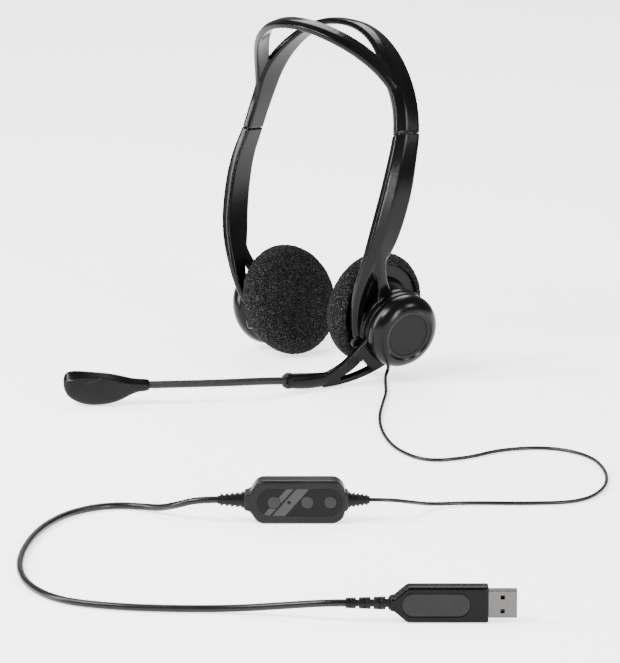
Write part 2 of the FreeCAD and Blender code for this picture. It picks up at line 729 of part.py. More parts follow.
def mic_parts():
    """The microphone's two shells, its capsule and the mesh behind the port."""
    body = mic_body(0.0)
    neck_bore = Part.makeCylinder(NECK_R + 0.05, 6, Vector(-1, 0, 0), Vector(1, 0, 0))
    port = rounded_box(9.0, 2.6, 0.5, 8, 1.2, 26.0, -1.2)
    hollow = disc(5.4, -2.6, 2.2, 27.0, 1.4)
    whole = body.cut(hollow).cut(neck_bore)
    front = whole.common(box((-2, -20, 0), (50, 20, 20))).cut(port)
    back = whole.common(box((-2, -20, -20), (50, 20, 0)))
    capsule = disc(4.8, -2.4, 1.0, 27.0, 1.4)
    mesh = rounded_box(8.6, 2.2, 1.2, 2.9, 1.0, 26.0, -1.2)
    return front, back, capsule, mesh


# ---------------------------------------------------------------- control
def lying(middle):
    """A frame on the floor: X along the piece, Y up and Z out of its broad front face."""
    angle = math.radians(FACING)
    along = Vector(math.cos(angle), math.sin(angle), 0)
    up = Vector(0, 0, 1)
    return axes(middle, along, up, along.cross(up))


CONTROL_FRAME = lying(CONTROL_MIDDLE)
PLUG_FRAME = lying(PLUG_MIDDLE)


def stadium(length, width, start, end, x=0.0, y=0.0):
    """A plate with round ends."""
    return rounded_box(length, width, start, end, width / 2 - 0.01, x, y)


def upper_part(solid):
    """What is in front of a case's parting plane."""
    return solid.common(box((-60, -20, 0), (60, 20, 20)))


def lower_part(solid):
    """What is behind a case's parting plane."""
    return solid.common(box((-60, -20, -20), (60, 20, 0)))


def control_parts():
    """The in-line control's shells, window, board, lens, keys and screws, in its own frame."""
    half = CONTROL_DEPTH / 2
    body = plate(symmetric(CONTROL_OUTLINE), -half, half)
    body = softened(body, CASE_ROUNDING, lambda e: abs(abs(e.CenterOfMass.z) - half) < 0.01)
    room = rounded_box(36.6, CONTROL_HEIGHT - 2 * CONTROL_WALL, -half + 1.5, 2.6, 5.4, 1.4)
    recess = stadium(WINDOW_LENGTH, WINDOW_HEIGHT, half - 1.2, half + 1, WINDOW_X)
    through = stadium(WINDOW_LENGTH - 4, WINDOW_HEIGHT - 4, 2.0, half + 1, WINDOW_X)
    entry = Part.makeCylinder(RELIEF_NECK_R + 0.05, 60, Vector(-30, 0, 0), Vector(1, 0, 0))
    shell = body.cut(room).cut(entry)
    front = upper_part(shell).cut(recess).cut(through)
    back = lower_part(shell)
    window = stadium(WINDOW_LENGTH - 0.2, WINDOW_HEIGHT - 0.2, half - 1.2, half - 0.1, WINDOW_X)
    window = window.cut(disc(0.85, 0, 10, LENS_X))
    board = rounded_box(35.0, 14.6, -0.4, 0.6, 4.0, 1.4)
    keys = {}
    for name, x in KEYS.items():
        window = window.cut(disc(KEY_R + 0.15, 0, 10, x))
        board = board.fuse(box((x - 1.7, -1.7, 0.6), (x + 1.7, 1.7, 1.9)))
        cap = softened(disc(KEY_R, 2.9, KEY_TOP, x), 0.5, lambda e: e.BoundBox.ZMin > KEY_TOP - 0.1)
        keys[name] = fused(cap, disc(KEY_R + 0.6, 2.9, 3.5, x), disc(0.8, 2.65, 3.0, x))
    lens = fused(disc(0.8, 0.6, half - 0.2, LENS_X), disc(1.4, 0.6, 2.4, LENS_X))
    screws = []
    for x, y in SCREW_PLACES:
        post = disc(1.9, -half + 1.4, 2.7, x, y).cut(disc(0.8, -half - 1, 1.8, x, y))
        board = board.cut(disc(2.1, -5, 5, x, y))
        front = front.fuse(upper_part(post)).cut(disc(0.8, -1, 1.8, x, y))
        head_seat = disc(1.5, -half - 1, -half + 1.0, x, y)
        back = back.fuse(lower_part(post)).cut(head_seat).cut(disc(0.8, -half - 1, 1, x, y))
        screw = fused(disc(1.4, -half + 0.1, -half + 1.0, x, y), disc(0.8, -half + 1, 1.6, x, y))
        screws.append(screw.cut(box((x - 1.2, y - 0.2, -half), (x + 1.2, y + 0.2, -half + 0.5))))
    parts = {
        "control_front_shell": front,
        "control_back_shell": back,
        "control_window": window,
        "control_board": board.removeSplitter(),
        "control_lens": lens,
        "control_screws": Part.makeCompound(screws),
    }
    return parts | keys


def ribbed_relief(start, end, root_r, tip_r, ribs, neck):
    """A tapered strain relief along X with ring-shaped ribs, and a neck held in the case."""
    way = 1 if end > start else -1
    step = (end - start) / (2 * ribs)
    points = [(0, start - way * neck)]
    if neck:
        points += [(RELIEF_NECK_R, start - way * neck), (RELIEF_NECK_R, start)]
    for i in range(2 * ribs):
        groove = RIB_DEPTH if i % 2 else 0
        radius = root_r + (tip_r - root_r) * i / (2 * ribs - 1) - groove
        points += [(radius, start + i * step), (radius, start + (i + 1) * step)]
    points.append((0, end))
    along_x_axis = axes(Vector(0, 0, 0), Vector(0, 1, 0), Vector(0, 0, 1), Vector(1, 0, 0))
    return moved(revolved(profile(points)), along_x_axis)


# ---------------------------------------------------------------- plug
def plug_parts():
    """The USB plug's body, inlay, shell, tongue, contacts and board, in its own frame."""
    half, end = PLUG_DEPTH / 2, PLUG_LENGTH / 2
    held = end - SHELL_IN  # where the shell starts inside the body
    tip = end + SHELL_OUT
    wide, deep = SHELL_WIDTH / 2, SHELL_DEPTH / 2
    whole = plate(symmetric(PLUG_OUTLINE), -half, half)
    whole = softened(whole, CASE_ROUNDING, lambda e: abs(abs(e.CenterOfMass.z) - half) < 0.01)
    inside = box((-end + 2, -4.2, -1.6), (held - 0.4, 4.2, 1.6))
    mouth = box((held - 0.5, -wide, -deep), (end + 5, wide, deep))
    whole = whole.cut(inside).cut(mouth)
    groove = stadium(INLAY_LENGTH + 0.9, INLAY_HEIGHT + 0.9, half - 0.7, half + 1, INLAY_X)
    front = upper_part(whole).cut(groove)
    back = lower_part(whole)
    shell = box((held, -wide, -deep), (tip, wide, deep))
    shell = softened(shell, 0.5, lambda e: e.BoundBox.XLength > 5)
    hollow_wide, hollow_deep = wide - SHELL_WALL, deep - SHELL_WALL
    shell = shell.cut(box((held - 1, -hollow_wide, -hollow_deep), (tip + 1, hollow_wide, hollow_deep)))
    for y in (-3.0, 3.0):
        shell = shell.cut(box((tip - 7.0, y - 0.9, -10), (tip - 5.2, y + 0.9, 10)))
    tongue = box((held, -5.6, -hollow_deep), (tip - 0.6, 5.6, -0.1))
    contacts = []
    for y, inset in ((-3.5, 1.0), (-1.2, 2.0), (1.2, 2.0), (3.5, 1.0)):
        contacts.append(box((held + 1, y - 0.5, -0.1), (tip - inset - 0.8, y + 0.5, 0.1)))
    board = box((-10.0, -4.0, -0.5), (held - 0.5, 4.0, 0.5))
    chip = box((-5.0, -2.5, 0.5), (0.0, 2.5, 1.4))
    return {
        "usb_body_front": front,
        "usb_body_back": back,
        "usb_inlay": stadium(INLAY_LENGTH, INLAY_HEIGHT, half - 0.7, half - 0.15, INLAY_X),
        "usb_shell": shell,
        "usb_tongue": tongue,
        "usb_contacts": Part.makeCompound(contacts),
        "usb_board": fused(board, chip),
    }


# ---------------------------------------------------------------- leads inside the mouldings
def lead(stations, inner, radius=LEAD_R):
    """A thin audio lead laid inside a strip, a little inward of its middle."""
    frames = strip_frames(stations)
    return tube([tuple(c - n * inner) for c, _, n in frames], radius)


# ---------------------------------------------------------------- build the headset
def stand_placement():
    """The lean onto the headset's three feet, and the shift to the row's frame."""
    lean = Rotation(Vector(-LEAN_BACK, -LEAN_RIGHT, 0), math.hypot(LEAN_BACK, LEAN_RIGHT))
    return Placement(STAND_SHIFT, lean)


def stand(shape):
    """From the upright frame to the row's frame."""
    return moved(shape, stand_placement())


def build_headset():
    upright = {}
    upright["headband"] = headband()
    upright["band_lead"] = lead(both_sides(REAR_BAND[4:]), BAND_LEAD_DEPTH)
    for side, hub_frame, prongs, turn in (
        ("left", LEFT_HUB_FRAME, (LEFT_ARM_END, LEFT_REAR_PRONG), Part.Shape.copy),
        ("right", RIGHT_HUB_FRAME, (RIGHT_ARM_END, RIGHT_REAR_PRONG), mirrored),
    ):
        pieces = {
            "arm": arm(hub_frame, *prongs),
            "slider_tongue": moved(
                tongue_block(0.0, -TONGUE_IN_ARM - JOINT_GAP, TONGUE_IN_BAND), SLIDE_FRAME
            ),
            "slider_detent": moved(detent_block(0.0), SLIDE_FRAME),
            "arm_lead": lead(ARM[3:7], ARM_LEAD_DEPTH),
            "ball_stud": ball_stud(hub_frame),
            "hub_screw": moved(hub_screw(), hub_frame),
            "hub_cap": moved(hub_cap(), hub_frame),
            "badge": moved(badge(), hub_frame),
            "ear_foam": moved(ear_foam(), PAD_FRAME),
            "baffle": moved(baffle(), PAD_FRAME),
            "driver": moved(driver(), PAD_FRAME),
            "driver_cover": moved(driver_cover(), PAD_FRAME),
        }
        if side == "right":
            pieces["hub_spacer"] = moved(hub_spacer(), hub_frame)
        for name, shape in pieces.items():
            upright[f"{side}_{name}"] = turn(shape)
    upright["cord_bushing"] = cord_bushing()
    upright["left_arm"] = upright["left_arm"].cut(upright["cord_bushing"])
    upright["boom_bracket"] = on_boom(boom_bracket())
    upright["boom_collar"] = boom_collar()
    upright["gooseneck_lower"] = gooseneck_lower()
    upright["gooseneck_upper"] = gooseneck_upper()
    front, back, capsule, mesh = (moved(s, mic_frame()) for s in mic_parts())
    upright["mic_front_shell"] = front
    upright["mic_back_shell"] = back
    upright["mic_capsule"] = capsule
    upright["mic_port_mesh"] = mesh
    for name, shape in upright.items():
        nodes[name] = stand(shape)


def along_x(frame, distance):
    """The point at a distance along a frame's own X."""
    return tuple(frame.multVec(Vector(distance, 0, 0)))


def build_cord():
    for name, shape in control_parts().items():
        nodes[name] = moved(shape, CONTROL_FRAME)
    half = CONTROL_LENGTH / 2
    headset_end, usb_end = half + 9.6, -half - 11.8
    relief = ribbed_relief(half, headset_end, 3.6, 2.3, 5, 2.4)
    nodes["control_relief_headset"] = moved(relief, CONTROL_FRAME)
    relief = ribbed_relief(-half, usb_end, 3.7, 2.5, 5, 2.4)
    nodes["control_relief_usb"] = moved(relief, CONTROL_FRAME)
    for name, shape in plug_parts().items():
        nodes[name] = moved(shape, PLUG_FRAME)
    neck_end = -PLUG_LENGTH / 2 - PLUG_NECK
    plug_end = neck_end - USB_RELIEF
    relief = ribbed_relief(neck_end, plug_end, 2.9, 2.2, 6, 0)
    nodes["usb_relief"] = moved(relief, PLUG_FRAME)
    bushing = stand_placement().multiply(cord_bushing_frame())
    route = [tuple(bushing.multVec(Vector(0, 0, z))) for z in (BUSHING_OUT, BUSHING_OUT + 2.8)]
    route += HEADSET_CORD_ROUTE
    route += [along_x(CONTROL_FRAME, headset_end + x) for x in (9.0, 0.0)]
    print("headset cord's ends:", route[:2], route[-2:])
    nodes["headset_cord"] = tube(route, CORD_R, "headset cord")
    route = [along_x(CONTROL_FRAME, usb_end + x) for x in (0.0, -9.0)]
    route += USB_CORD_ROUTE
    route += [along_x(PLUG_FRAME, plug_end + x) for x in (-8.0, 0.0)]
    print("usb cord's ends:", route[:2], route[-2:])
    nodes["usb_cord"] = tube(route, USB_CORD_R, "usb cord")


build_headset()
build_cord()
os.makedirs("parts", exist_ok=True)
for name, shape in nodes.items():
    if not shape.isValid() or shape.Volume <= 0:
        print("NOT VALID:", name, shape.isValid(), shape.Volume)
    shape.exportStep(f"parts/{name}.step")
print(len(nodes), "nodes written")
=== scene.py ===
"""A wired office headset, standing on a pale floor with its cord, control and plug in front of it."""

import bpy
import json
import math

from mathutils import Matrix, Vector, noise


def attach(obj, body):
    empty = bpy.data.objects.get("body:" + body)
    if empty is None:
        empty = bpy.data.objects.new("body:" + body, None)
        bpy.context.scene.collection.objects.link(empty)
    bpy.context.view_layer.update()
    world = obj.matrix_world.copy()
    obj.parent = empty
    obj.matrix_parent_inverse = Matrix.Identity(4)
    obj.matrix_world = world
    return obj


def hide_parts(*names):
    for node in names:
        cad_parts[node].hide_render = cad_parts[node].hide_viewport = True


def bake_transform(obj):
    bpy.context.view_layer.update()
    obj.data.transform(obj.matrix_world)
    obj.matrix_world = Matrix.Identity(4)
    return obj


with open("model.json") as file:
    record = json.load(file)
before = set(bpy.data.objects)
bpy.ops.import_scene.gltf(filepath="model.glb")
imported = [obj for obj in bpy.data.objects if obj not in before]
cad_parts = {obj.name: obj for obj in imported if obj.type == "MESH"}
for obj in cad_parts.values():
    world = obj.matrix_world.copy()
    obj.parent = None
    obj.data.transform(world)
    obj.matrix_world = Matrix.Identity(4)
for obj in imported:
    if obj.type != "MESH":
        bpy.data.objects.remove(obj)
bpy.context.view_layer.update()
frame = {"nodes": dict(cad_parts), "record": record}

nodes = frame["nodes"]
MM = 0.001


# ---------------------------------------------------------------- camera, floor and light
AZIMUTH = math.radians(49.0)  # the camera's place round the headset
ELEVATION = math.radians(13.0)
DISTANCE = 2.6
LOOKS_AT = Vector((-0.0014, 0.0559, 0.0168))
SENSOR = 0.036
WIDTH_AT_TARGET = 0.3147  # metres of the scene across the picture, at the distance that it looks at
CLIP_START, CLIP_END = 0.05, 50

toward_camera = Vector(
    (
        math.sin(AZIMUTH) * math.cos(ELEVATION),
        -math.cos(AZIMUTH) * math.cos(ELEVATION),
        math.sin(ELEVATION),
    )
)
right_hand = Vector((math.cos(AZIMUTH), math.sin(AZIMUTH), 0))


def make_camera():
    """The scene's camera, which looks at the headset from its front left and a little above."""
    data = bpy.data.cameras.new("camera")
    data.sensor_fit = "HORIZONTAL"
    data.sensor_width = SENSOR * 1000
    data.lens = SENSOR * 1000 * DISTANCE / WIDTH_AT_TARGET
    data.clip_start = CLIP_START
    data.clip_end = CLIP_END
    camera = bpy.data.objects.new("camera", data)
    camera.location = LOOKS_AT + toward_camera * DISTANCE
    camera.rotation_euler = toward_camera.to_track_quat("Z", "Y").to_euler()
    bpy.context.collection.objects.link(camera)
    bpy.context.scene.camera = camera


SKY = 0.35  # strength of the even light from all round
LIGHT_CENTRE = Vector((0.1, -0.03, 0))  # the lights stand round this place
LIGHT_TARGET = Vector((0.1, -0.05, 0.06))  # and all face this one
FLOOR_REACH = 9.0
FLOOR_GAP = 0.2 * MM  # keeps the floor just under whatever stands on it


def soft_light(name, offset, width, height, power):
    """A rectangular soft box, placed from the lights' centre."""
    data = bpy.data.lights.new(name, "AREA")
    data.shape = "RECTANGLE"
    data.size = width
    data.size_y = height
    data.energy = power
    light = bpy.data.objects.new(name, data)
    light.location = LIGHT_CENTRE + offset
    aim = light.location - LIGHT_TARGET
    light.rotation_euler = aim.to_track_quat("Z", "Y").to_euler()
    bpy.context.collection.objects.link(light)


def make_studio():
    """Even light, five soft boxes and a plain pale floor."""
    world = bpy.data.worlds.new("studio")
    bpy.context.scene.world = world
    world.use_nodes = True
    world.node_tree.nodes["Background"].inputs["Color"].default_value = (1, 1, 1, 1)
    world.node_tree.nodes["Background"].inputs["Strength"].default_value = SKY
    up = Vector((0, 0, 1))
    side = right_hand
    front = Vector((toward_camera.x, toward_camera.y, 0)).normalized()
    soft_light("key", front * 0.8 - side * 0.9 + up * 1.3, 0.5, 0.5, 45)
    soft_light("strip", front * 0.25 - side * 1.2 + up * 0.75, 0.2, 1.3, 40)
    soft_light("ridge", Vector((1.6, -0.3, 0.35)), 0.09, 0.9, 34)  # draws the streak on the near arm
    soft_light("fill", front * 0.5 + side * 1.3 + up * 0.9, 0.4, 0.4, 12)
    soft_light("back", up * 1.4 - front * 1.2, 0.9, 0.9, 30)
    mesh = bpy.data.meshes.new("floor")
    corners = [(x * FLOOR_REACH, y * FLOOR_REACH, 0) for x, y in ((-1, -1), (1, -1), (1, 1), (-1, 1))]
    mesh.from_pydata(corners, [], [(0, 1, 2, 3)])
    floor = bpy.data.objects.new("floor", mesh)
    floor.location.z = -FLOOR_GAP
    bpy.context.collection.objects.link(floor)
    floor.data.materials.append(floor_material())


# ---------------------------------------------------------------- material helpers
def new_material(name):
    """A material with its node tree, links and main shader."""
    material = bpy.data.materials.new(name)
    material.use_nodes = True
    tree = material.node_tree
    return material, tree, tree.nodes["Principled BSDF"]


def add(tree, kind, **values):
    """A node with its sockets set by name."""
    node = tree.nodes.new(kind)
    for key, value in values.items():
        if hasattr(node, key):
            setattr(node, key, value)
        else:
            node.inputs[key.replace("_", " ")].default_value = value
    return node


def grain(tree, scale, detail, roughness=0.5, coordinates=None):
    """Noise in the object's own coordinates."""
    coordinates = coordinates or add(tree, "ShaderNodeTexCoord")
    texture = add(tree, "ShaderNodeTexNoise", Scale=scale, Detail=detail, Roughness=roughness)
    tree.links.new(coordinates.outputs["Object"], texture.inputs["Vector"])
    return texture


def spread(tree, value, low, high, from_low=0.3, from_high=0.7):
    """Maps a texture's value to a range."""
    node = add(tree, "ShaderNodeMapRange")
    for key, number in (
        ("From Min", from_low), ("From Max", from_high), ("To Min", low), ("To Max", high)
    ):
        node.inputs[key].default_value = number
    tree.links.new(value, node.inputs["Value"])
    return node.outputs["Result"]


def tint(tree, value, dark, light):
    """Mixes two colours by a texture's value."""
    ramp = add(tree, "ShaderNodeValToRGB")
    ramp.color_ramp.elements[0].position = 0.35
    ramp.color_ramp.elements[1].position = 0.65
    ramp.color_ramp.elements[0].color = (*dark, 1)
    ramp.color_ramp.elements[1].color = (*light, 1)
    tree.links.new(value, ramp.inputs["Fac"])
    return ramp.outputs["Color"]


def bump(tree, shader, height, distance, strength=1.0, onto=None):
    """Adds a bump to the shader's normal, over an earlier bump if one is given."""
    node = add(tree, "ShaderNodeBump", Strength=strength, Distance=distance)
    tree.links.new(height, node.inputs["Height"])
    if onto:
        tree.links.new(onto.outputs["Normal"], node.inputs["Normal"])
    tree.links.new(node.outputs["Normal"], shader.inputs["Normal"])
    return node


MARKS_SCALE = 38.0  # handling marks on plastic, in a metre


def plastic(name, dark, light, rough, grain_size, grain_depth, specular, smear=0.06):
    """Moulded plastic: a fine spark-eroded grain, faint handling marks and slight colour variation."""
    material, tree, shader = new_material(name)
    fine = grain(tree, 1 / grain_size, 3.0)
    broad = grain(tree, MARKS_SCALE, 4.0, 0.6)
    tree.links.new(tint(tree, broad.outputs["Fac"], dark, light), shader.inputs["Base Color"])
    tree.links.new(
        spread(tree, broad.outputs["Fac"], rough - smear, rough + smear), shader.inputs["Roughness"]
    )
    shader.inputs["Specular IOR Level"].default_value = specular
    bump(tree, shader, fine.outputs["Fac"], grain_depth)
    return material


FLOOR_GLOW = 1.7  # the floor's own light, which lifts it to near white


def floor_material():
    """A plain matt floor, almost one tone."""
    material, tree, shader = new_material("pale_floor")
    shade = grain(tree, 3.0, 2.0)
    colour = tint(tree, shade.outputs["Fac"], (0.9, 0.9, 0.9), (0.92, 0.92, 0.92))
    tree.links.new(colour, shader.inputs["Base Color"])
    shader.inputs["Roughness"].default_value = 0.9
    shader.inputs["Specular IOR Level"].default_value = 0.1
    shader.inputs["Emission Color"].default_value = (1, 1, 1, 1)
    shader.inputs["Emission Strength"].default_value = FLOOR_GLOW
    return material


PORES_PER_METRE, STRANDS_PER_METRE = 1500.0, 2100.0
PORE_BUMP, STRAND_BUMP = 0.7 * MM, 0.4 * MM


def foam_material():
    """Open-cell foam: pores between lighter strands, with painted shade darkening the pores."""
    material, tree, shader = new_material("open_cell_foam")
    coordinates = add(tree, "ShaderNodeTexCoord")
    cells = add(tree, "ShaderNodeTexVoronoi", Scale=PORES_PER_METRE)
    tree.links.new(coordinates.outputs["Object"], cells.inputs["Vector"])
    strands = grain(tree, STRANDS_PER_METRE, 4.0, 0.65, coordinates)
    mix = add(tree, "ShaderNodeMath", operation="MULTIPLY")
    tree.links.new(cells.outputs["Distance"], mix.inputs[0])
    tree.links.new(strands.outputs["Fac"], mix.inputs[1])
    # painted shade: the colour darkens in the pores, where the bump sinks, and is lighter on the
    # strands
    ramp = add(tree, "ShaderNodeValToRGB")
    ramp.color_ramp.elements[0].position = 0.24
    ramp.color_ramp.elements[0].color = (0.0006, 0.0006, 0.0007, 1)
    ramp.color_ramp.elements[1].position = 0.50
    ramp.color_ramp.elements[1].color = (0.060, 0.060, 0.062, 1)
    tree.links.new(mix.outputs["Value"], ramp.inputs["Fac"])
    tree.links.new(ramp.outputs["Color"], shader.inputs["Base Color"])
    shader.inputs["Roughness"].default_value = 0.8
    shader.inputs["Specular IOR Level"].default_value = 0.08
    pores = bump(tree, shader, mix.outputs["Value"], PORE_BUMP)
    bump(tree, shader, strands.outputs["Fac"], STRAND_BUMP, 0.8, pores)
    return material


def metal(name, colour, rough, stretch, streak=400.0):
    """Metal with brushed streaks along one axis."""
    material, tree, shader = new_material(name)
    coordinates = add(tree, "ShaderNodeTexCoord")
    mapping = add(tree, "ShaderNodeMapping")
    mapping.inputs["Scale"].default_value = stretch
    tree.links.new(coordinates.outputs["Object"], mapping.inputs["Vector"])
    streaks = add(tree, "ShaderNodeTexNoise", Scale=streak, Detail=4.0)
    tree.links.new(mapping.outputs["Vector"], streaks.inputs["Vector"])
    dark = tuple(0.8 * c for c in colour)
    tree.links.new(tint(tree, streaks.outputs["Fac"], dark, colour), shader.inputs["Base Color"])
    tree.links.new(
        spread(tree, streaks.outputs["Fac"], rough - 0.06, rough + 0.08), shader.inputs["Roughness"]
    )
    shader.inputs["Metallic"].default_value = 1.0
    bump(tree, shader, streaks.outputs["Fac"], 0.00003)
    return material


def cord_material():
    """A satin jacket with the faint ripple of its extrusion."""
    material, tree, shader = new_material("cord_jacket")
    broad = grain(tree, 60.0, 3.0)
    fine = grain(tree, 2600.0, 2.0)
    colour = tint(tree, broad.outputs["Fac"], (0.0014, 0.0014, 0.0014), (0.0028, 0.0028, 0.0030))
    tree.links.new(colour, shader.inputs["Base Color"])
    shader.inputs["Specular IOR Level"].default_value = 0.25
    tree.links.new(spread(tree, broad.outputs["Fac"], 0.26, 0.36), shader.inputs["Roughness"])
    bump(tree, shader, fine.outputs["Fac"], 0.00004)
    return material


PAINTED_REFLECTION_SLANT = (0.6561, 0.7547, -0.87)  # the painted reflection bands lie across this: along the window, less a share of the height
PAINTED_REFLECTION_BANDS = ((0.0239, 0.0030), (0.0182, 0.0017))  # each painted reflection band's middle in that direction, and half width


def window_with_painted_reflection():
    """A glossy black window with two slanting bands of painted reflection, where its colour is paler.
    """
    material, tree, shader = new_material("control_window")
    broad = grain(tree, 60.0, 3.0)
    coordinates = add(tree, "ShaderNodeTexCoord")
    slant = add(tree, "ShaderNodeVectorMath", operation="DOT_PRODUCT")
    tree.links.new(coordinates.outputs["Object"], slant.inputs[0])
    slant.inputs[1].default_value = PAINTED_REFLECTION_SLANT
    both = add(tree, "ShaderNodeMath", operation="MAXIMUM")
    for socket, (middle, half) in zip(both.inputs, PAINTED_REFLECTION_BANDS):
        offset = add(tree, "ShaderNodeMath", operation="SUBTRACT")
        tree.links.new(slant.outputs["Value"], offset.inputs[0])
        offset.inputs[1].default_value = middle
        size = add(tree, "ShaderNodeMath", operation="ABSOLUTE")
        tree.links.new(offset.outputs["Value"], size.inputs[0])
        tree.links.new(spread(tree, size.outputs["Value"], 1.0, 0.0, half * 0.8, half * 1.1), socket)
    # painted reflection: the base colour is paler inside the two slanting bands
    colour = tint(tree, both.outputs["Value"], (0.002, 0.002, 0.002), (0.030, 0.030, 0.031))
    tree.links.new(colour, shader.inputs["Base Color"])
    tree.links.new(spread(tree, broad.outputs["Fac"], 0.07, 0.12), shader.inputs["Roughness"])
    shader.inputs["Specular IOR Level"].default_value = 0.1
    fine = grain(tree, 900.0, 2.0)
    bump(tree, shader, fine.outputs["Fac"], 0.000004)
    return material


materials = {
    "band_plastic": plastic(
        "satin_band", (0.0012, 0.0012, 0.0013), (0.0022, 0.0022, 0.0024),
        rough=0.19, grain_size=0.0004, grain_depth=0.00001, specular=0.13, smear=0.03,
    ),
    "gloss_black": plastic(
        "gloss_black", (0.0008, 0.0008, 0.0008), (0.0014, 0.0014, 0.0014),
        rough=0.24, grain_size=0.0005, grain_depth=0.000008, specular=0.15, smear=0.03,
    ),
    "badge_grey": plastic(
        "badge_grey", (0.0045, 0.0045, 0.0047), (0.0065, 0.0065, 0.0068),
        rough=0.45, grain_size=0.00035, grain_depth=0.00004, specular=0.08,
    ),
    "black_plastic": plastic(
        "satin_black", (0.0010, 0.0010, 0.0010), (0.0018, 0.0018, 0.0019),
        rough=0.27, grain_size=0.0004, grain_depth=0.00002, specular=0.1,
    ),
    "mic_plastic": plastic(
        "matte_microphone", (0.003, 0.003, 0.0032), (0.005, 0.005, 0.0053),
        rough=0.45, grain_size=0.0003, grain_depth=0.00004, specular=0.1,
    ),
    "foam": foam_material(),
    "spring_steel": metal("spring_steel", (0.5, 0.5, 0.5), rough=0.35, stretch=(1, 1, 8)),
    "gooseneck_braid": plastic(
        "gooseneck_braid", (0.003, 0.003, 0.003), (0.006, 0.006, 0.0063),
        rough=0.4, grain_size=0.00025, grain_depth=0.00004, specular=0.2,
    ),
    "cord_jacket": cord_material(),
    "relief_rubber": plastic(
        "relief_rubber", (0.0025, 0.0025, 0.0025), (0.0045, 0.0045, 0.0047),
        rough=0.4, grain_size=0.0003, grain_depth=0.00003, specular=0.12,
    ),
    "control_plastic": plastic(
        "control_case", (0.005, 0.005, 0.0052), (0.008, 0.008, 0.0083),
        rough=0.34, grain_size=0.0003, grain_depth=0.00004, specular=0.12,
    ),
    "key_grey": plastic(
        "key_grey", (0.018, 0.018, 0.0185), (0.025, 0.025, 0.026),
        rough=0.5, grain_size=0.0003, grain_depth=0.00004, specular=0.1,
    ),
    "circuit_board": plastic(
        "circuit_board", (0.02, 0.08, 0.03), (0.03, 0.11, 0.04),
        rough=0.4, grain_size=0.0008, grain_depth=0.00003, specular=0.5,
    ),
    "clear_lens": plastic(
        "lens", (0.002, 0.002, 0.002), (0.004, 0.004, 0.004),
        rough=0.2, grain_size=0.001, grain_depth=0.00001, specular=0.1,
    ),
    "driver_metal": metal("driver_metal", (0.4, 0.4, 0.42), rough=0.35, stretch=(1, 1, 1)),
    "mesh_dark": plastic(
        "port_mesh", (0.004, 0.004, 0.004), (0.01, 0.01, 0.01),
        rough=0.6, grain_size=0.0006, grain_depth=0.0002, specular=0.5,
    ),
    "inlay_grey": plastic(
        "inlay_grey", (0.009, 0.009, 0.0092), (0.013, 0.013, 0.0133),
        rough=0.45, grain_size=0.0003, grain_depth=0.00006, specular=0.12,
    ),
    "nickel": metal("nickel", (0.10, 0.098, 0.095), rough=0.34, stretch=(1, 1, 1), streak=1500.0),
    # painted shade: the plug's tongue is near-black for the shade inside its shell, though its slot is
    # white plastic
    "white_plastic": plastic(
        "usb_tongue", (0.001, 0.001, 0.001), (0.002, 0.002, 0.002),
        rough=0.6, grain_size=0.0005, grain_depth=0.00002, specular=0.1,
    ),
    "gold_contact": metal("gold_contact", (0.05, 0.037, 0.02), rough=0.4, stretch=(6, 1, 1)),
}


def finish_cad_nodes():
    """Every CAD node gets its slot's material, and the control's window its painted reflection bands.
    """
    for part in frame["record"]["subparts"]:
        obj = nodes[part["node"]]
        obj.data.materials.clear()
        obj.data.materials.append(materials[part["material_slot"]])
    nodes["control_window"].data.materials[0] = window_with_painted_reflection()


# ---------------------------------------------------------------- pieces made anew
def linked(name, mesh, material):
    """A new object for a mesh, in one material."""
    obj = bpy.data.objects.new(name, mesh)
    bpy.context.collection.objects.link(obj)
    obj.data.materials.clear()
    obj.data.materials.append(material)
    obj.data.polygons.foreach_set("use_smooth", [True] * len(obj.data.polygons))
    return obj


def remade(node, name, pitch, rounds, slot):
    """A CAD node's shape with an even skin, whose seams and edges flow into each other."""
    source = bpy.data.objects.new("source", nodes[node].data.copy())
    source.data.transform(nodes[node].matrix_world)
    bpy.context.collection.objects.link(source)
    skin = source.modifiers.new("skin", "REMESH")
    skin.mode = "VOXEL"
    skin.voxel_size = pitch
    relaxed = source.modifiers.new("relaxed", "SMOOTH")
    relaxed.factor = 0.5
    relaxed.iterations = rounds
    evaluated = source.evaluated_get(bpy.context.evaluated_depsgraph_get())
    mesh = bpy.data.meshes.new_from_object(evaluated)
    bpy.data.objects.remove(source)
    obj = linked(name, mesh, materials[slot])
    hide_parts(node)
    return obj


STRIP_PITCH, STRIP_ROUNDS = 0.45 * MM, 10


def make_strips():
    """The headband and the arms, moulded in one with soft seams between their strips."""
    for name in ("headband", "left_arm", "right_arm"):
        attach(remade(name, f"{name}_moulding", STRIP_PITCH, STRIP_ROUNDS, "band_plastic"), name)


FOAM_PITCH, FOAM_ROUNDS = 0.5 * MM, 4
FOAM_PIT = 0.75 * MM  # how deep the pores are
FOAM_CELLS, FOAM_CLOUDS = 950.0, 420.0  # pores and the looser patches between them, in a metre


def make_pads():
    """The ear foams: coarse open-cell foam, pitted all over."""
    for side in ("left", "right"):
        foam = remade(f"{side}_ear_foam", f"{side}_pad_foam", FOAM_PITCH, FOAM_ROUNDS, "foam")
        mesh = foam.data
        places = []
        for vertex in mesh.vertices:
            near = noise.voronoi(vertex.co * FOAM_CELLS)[0][0]
            cloud = noise.fractal(vertex.co * FOAM_CLOUDS, 1.0, 2.0, 2)
            pit = min(1.0, max(0.0, 1.05 - 1.5 * near)) * 0.6 + 0.25 * (cloud + 0.5)
            places.append(vertex.co - vertex.normal * FOAM_PIT * pit)
        for vertex, place in zip(mesh.vertices, places):
            vertex.co = place
        mesh.update()
        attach(foam, f"{side}_pad")


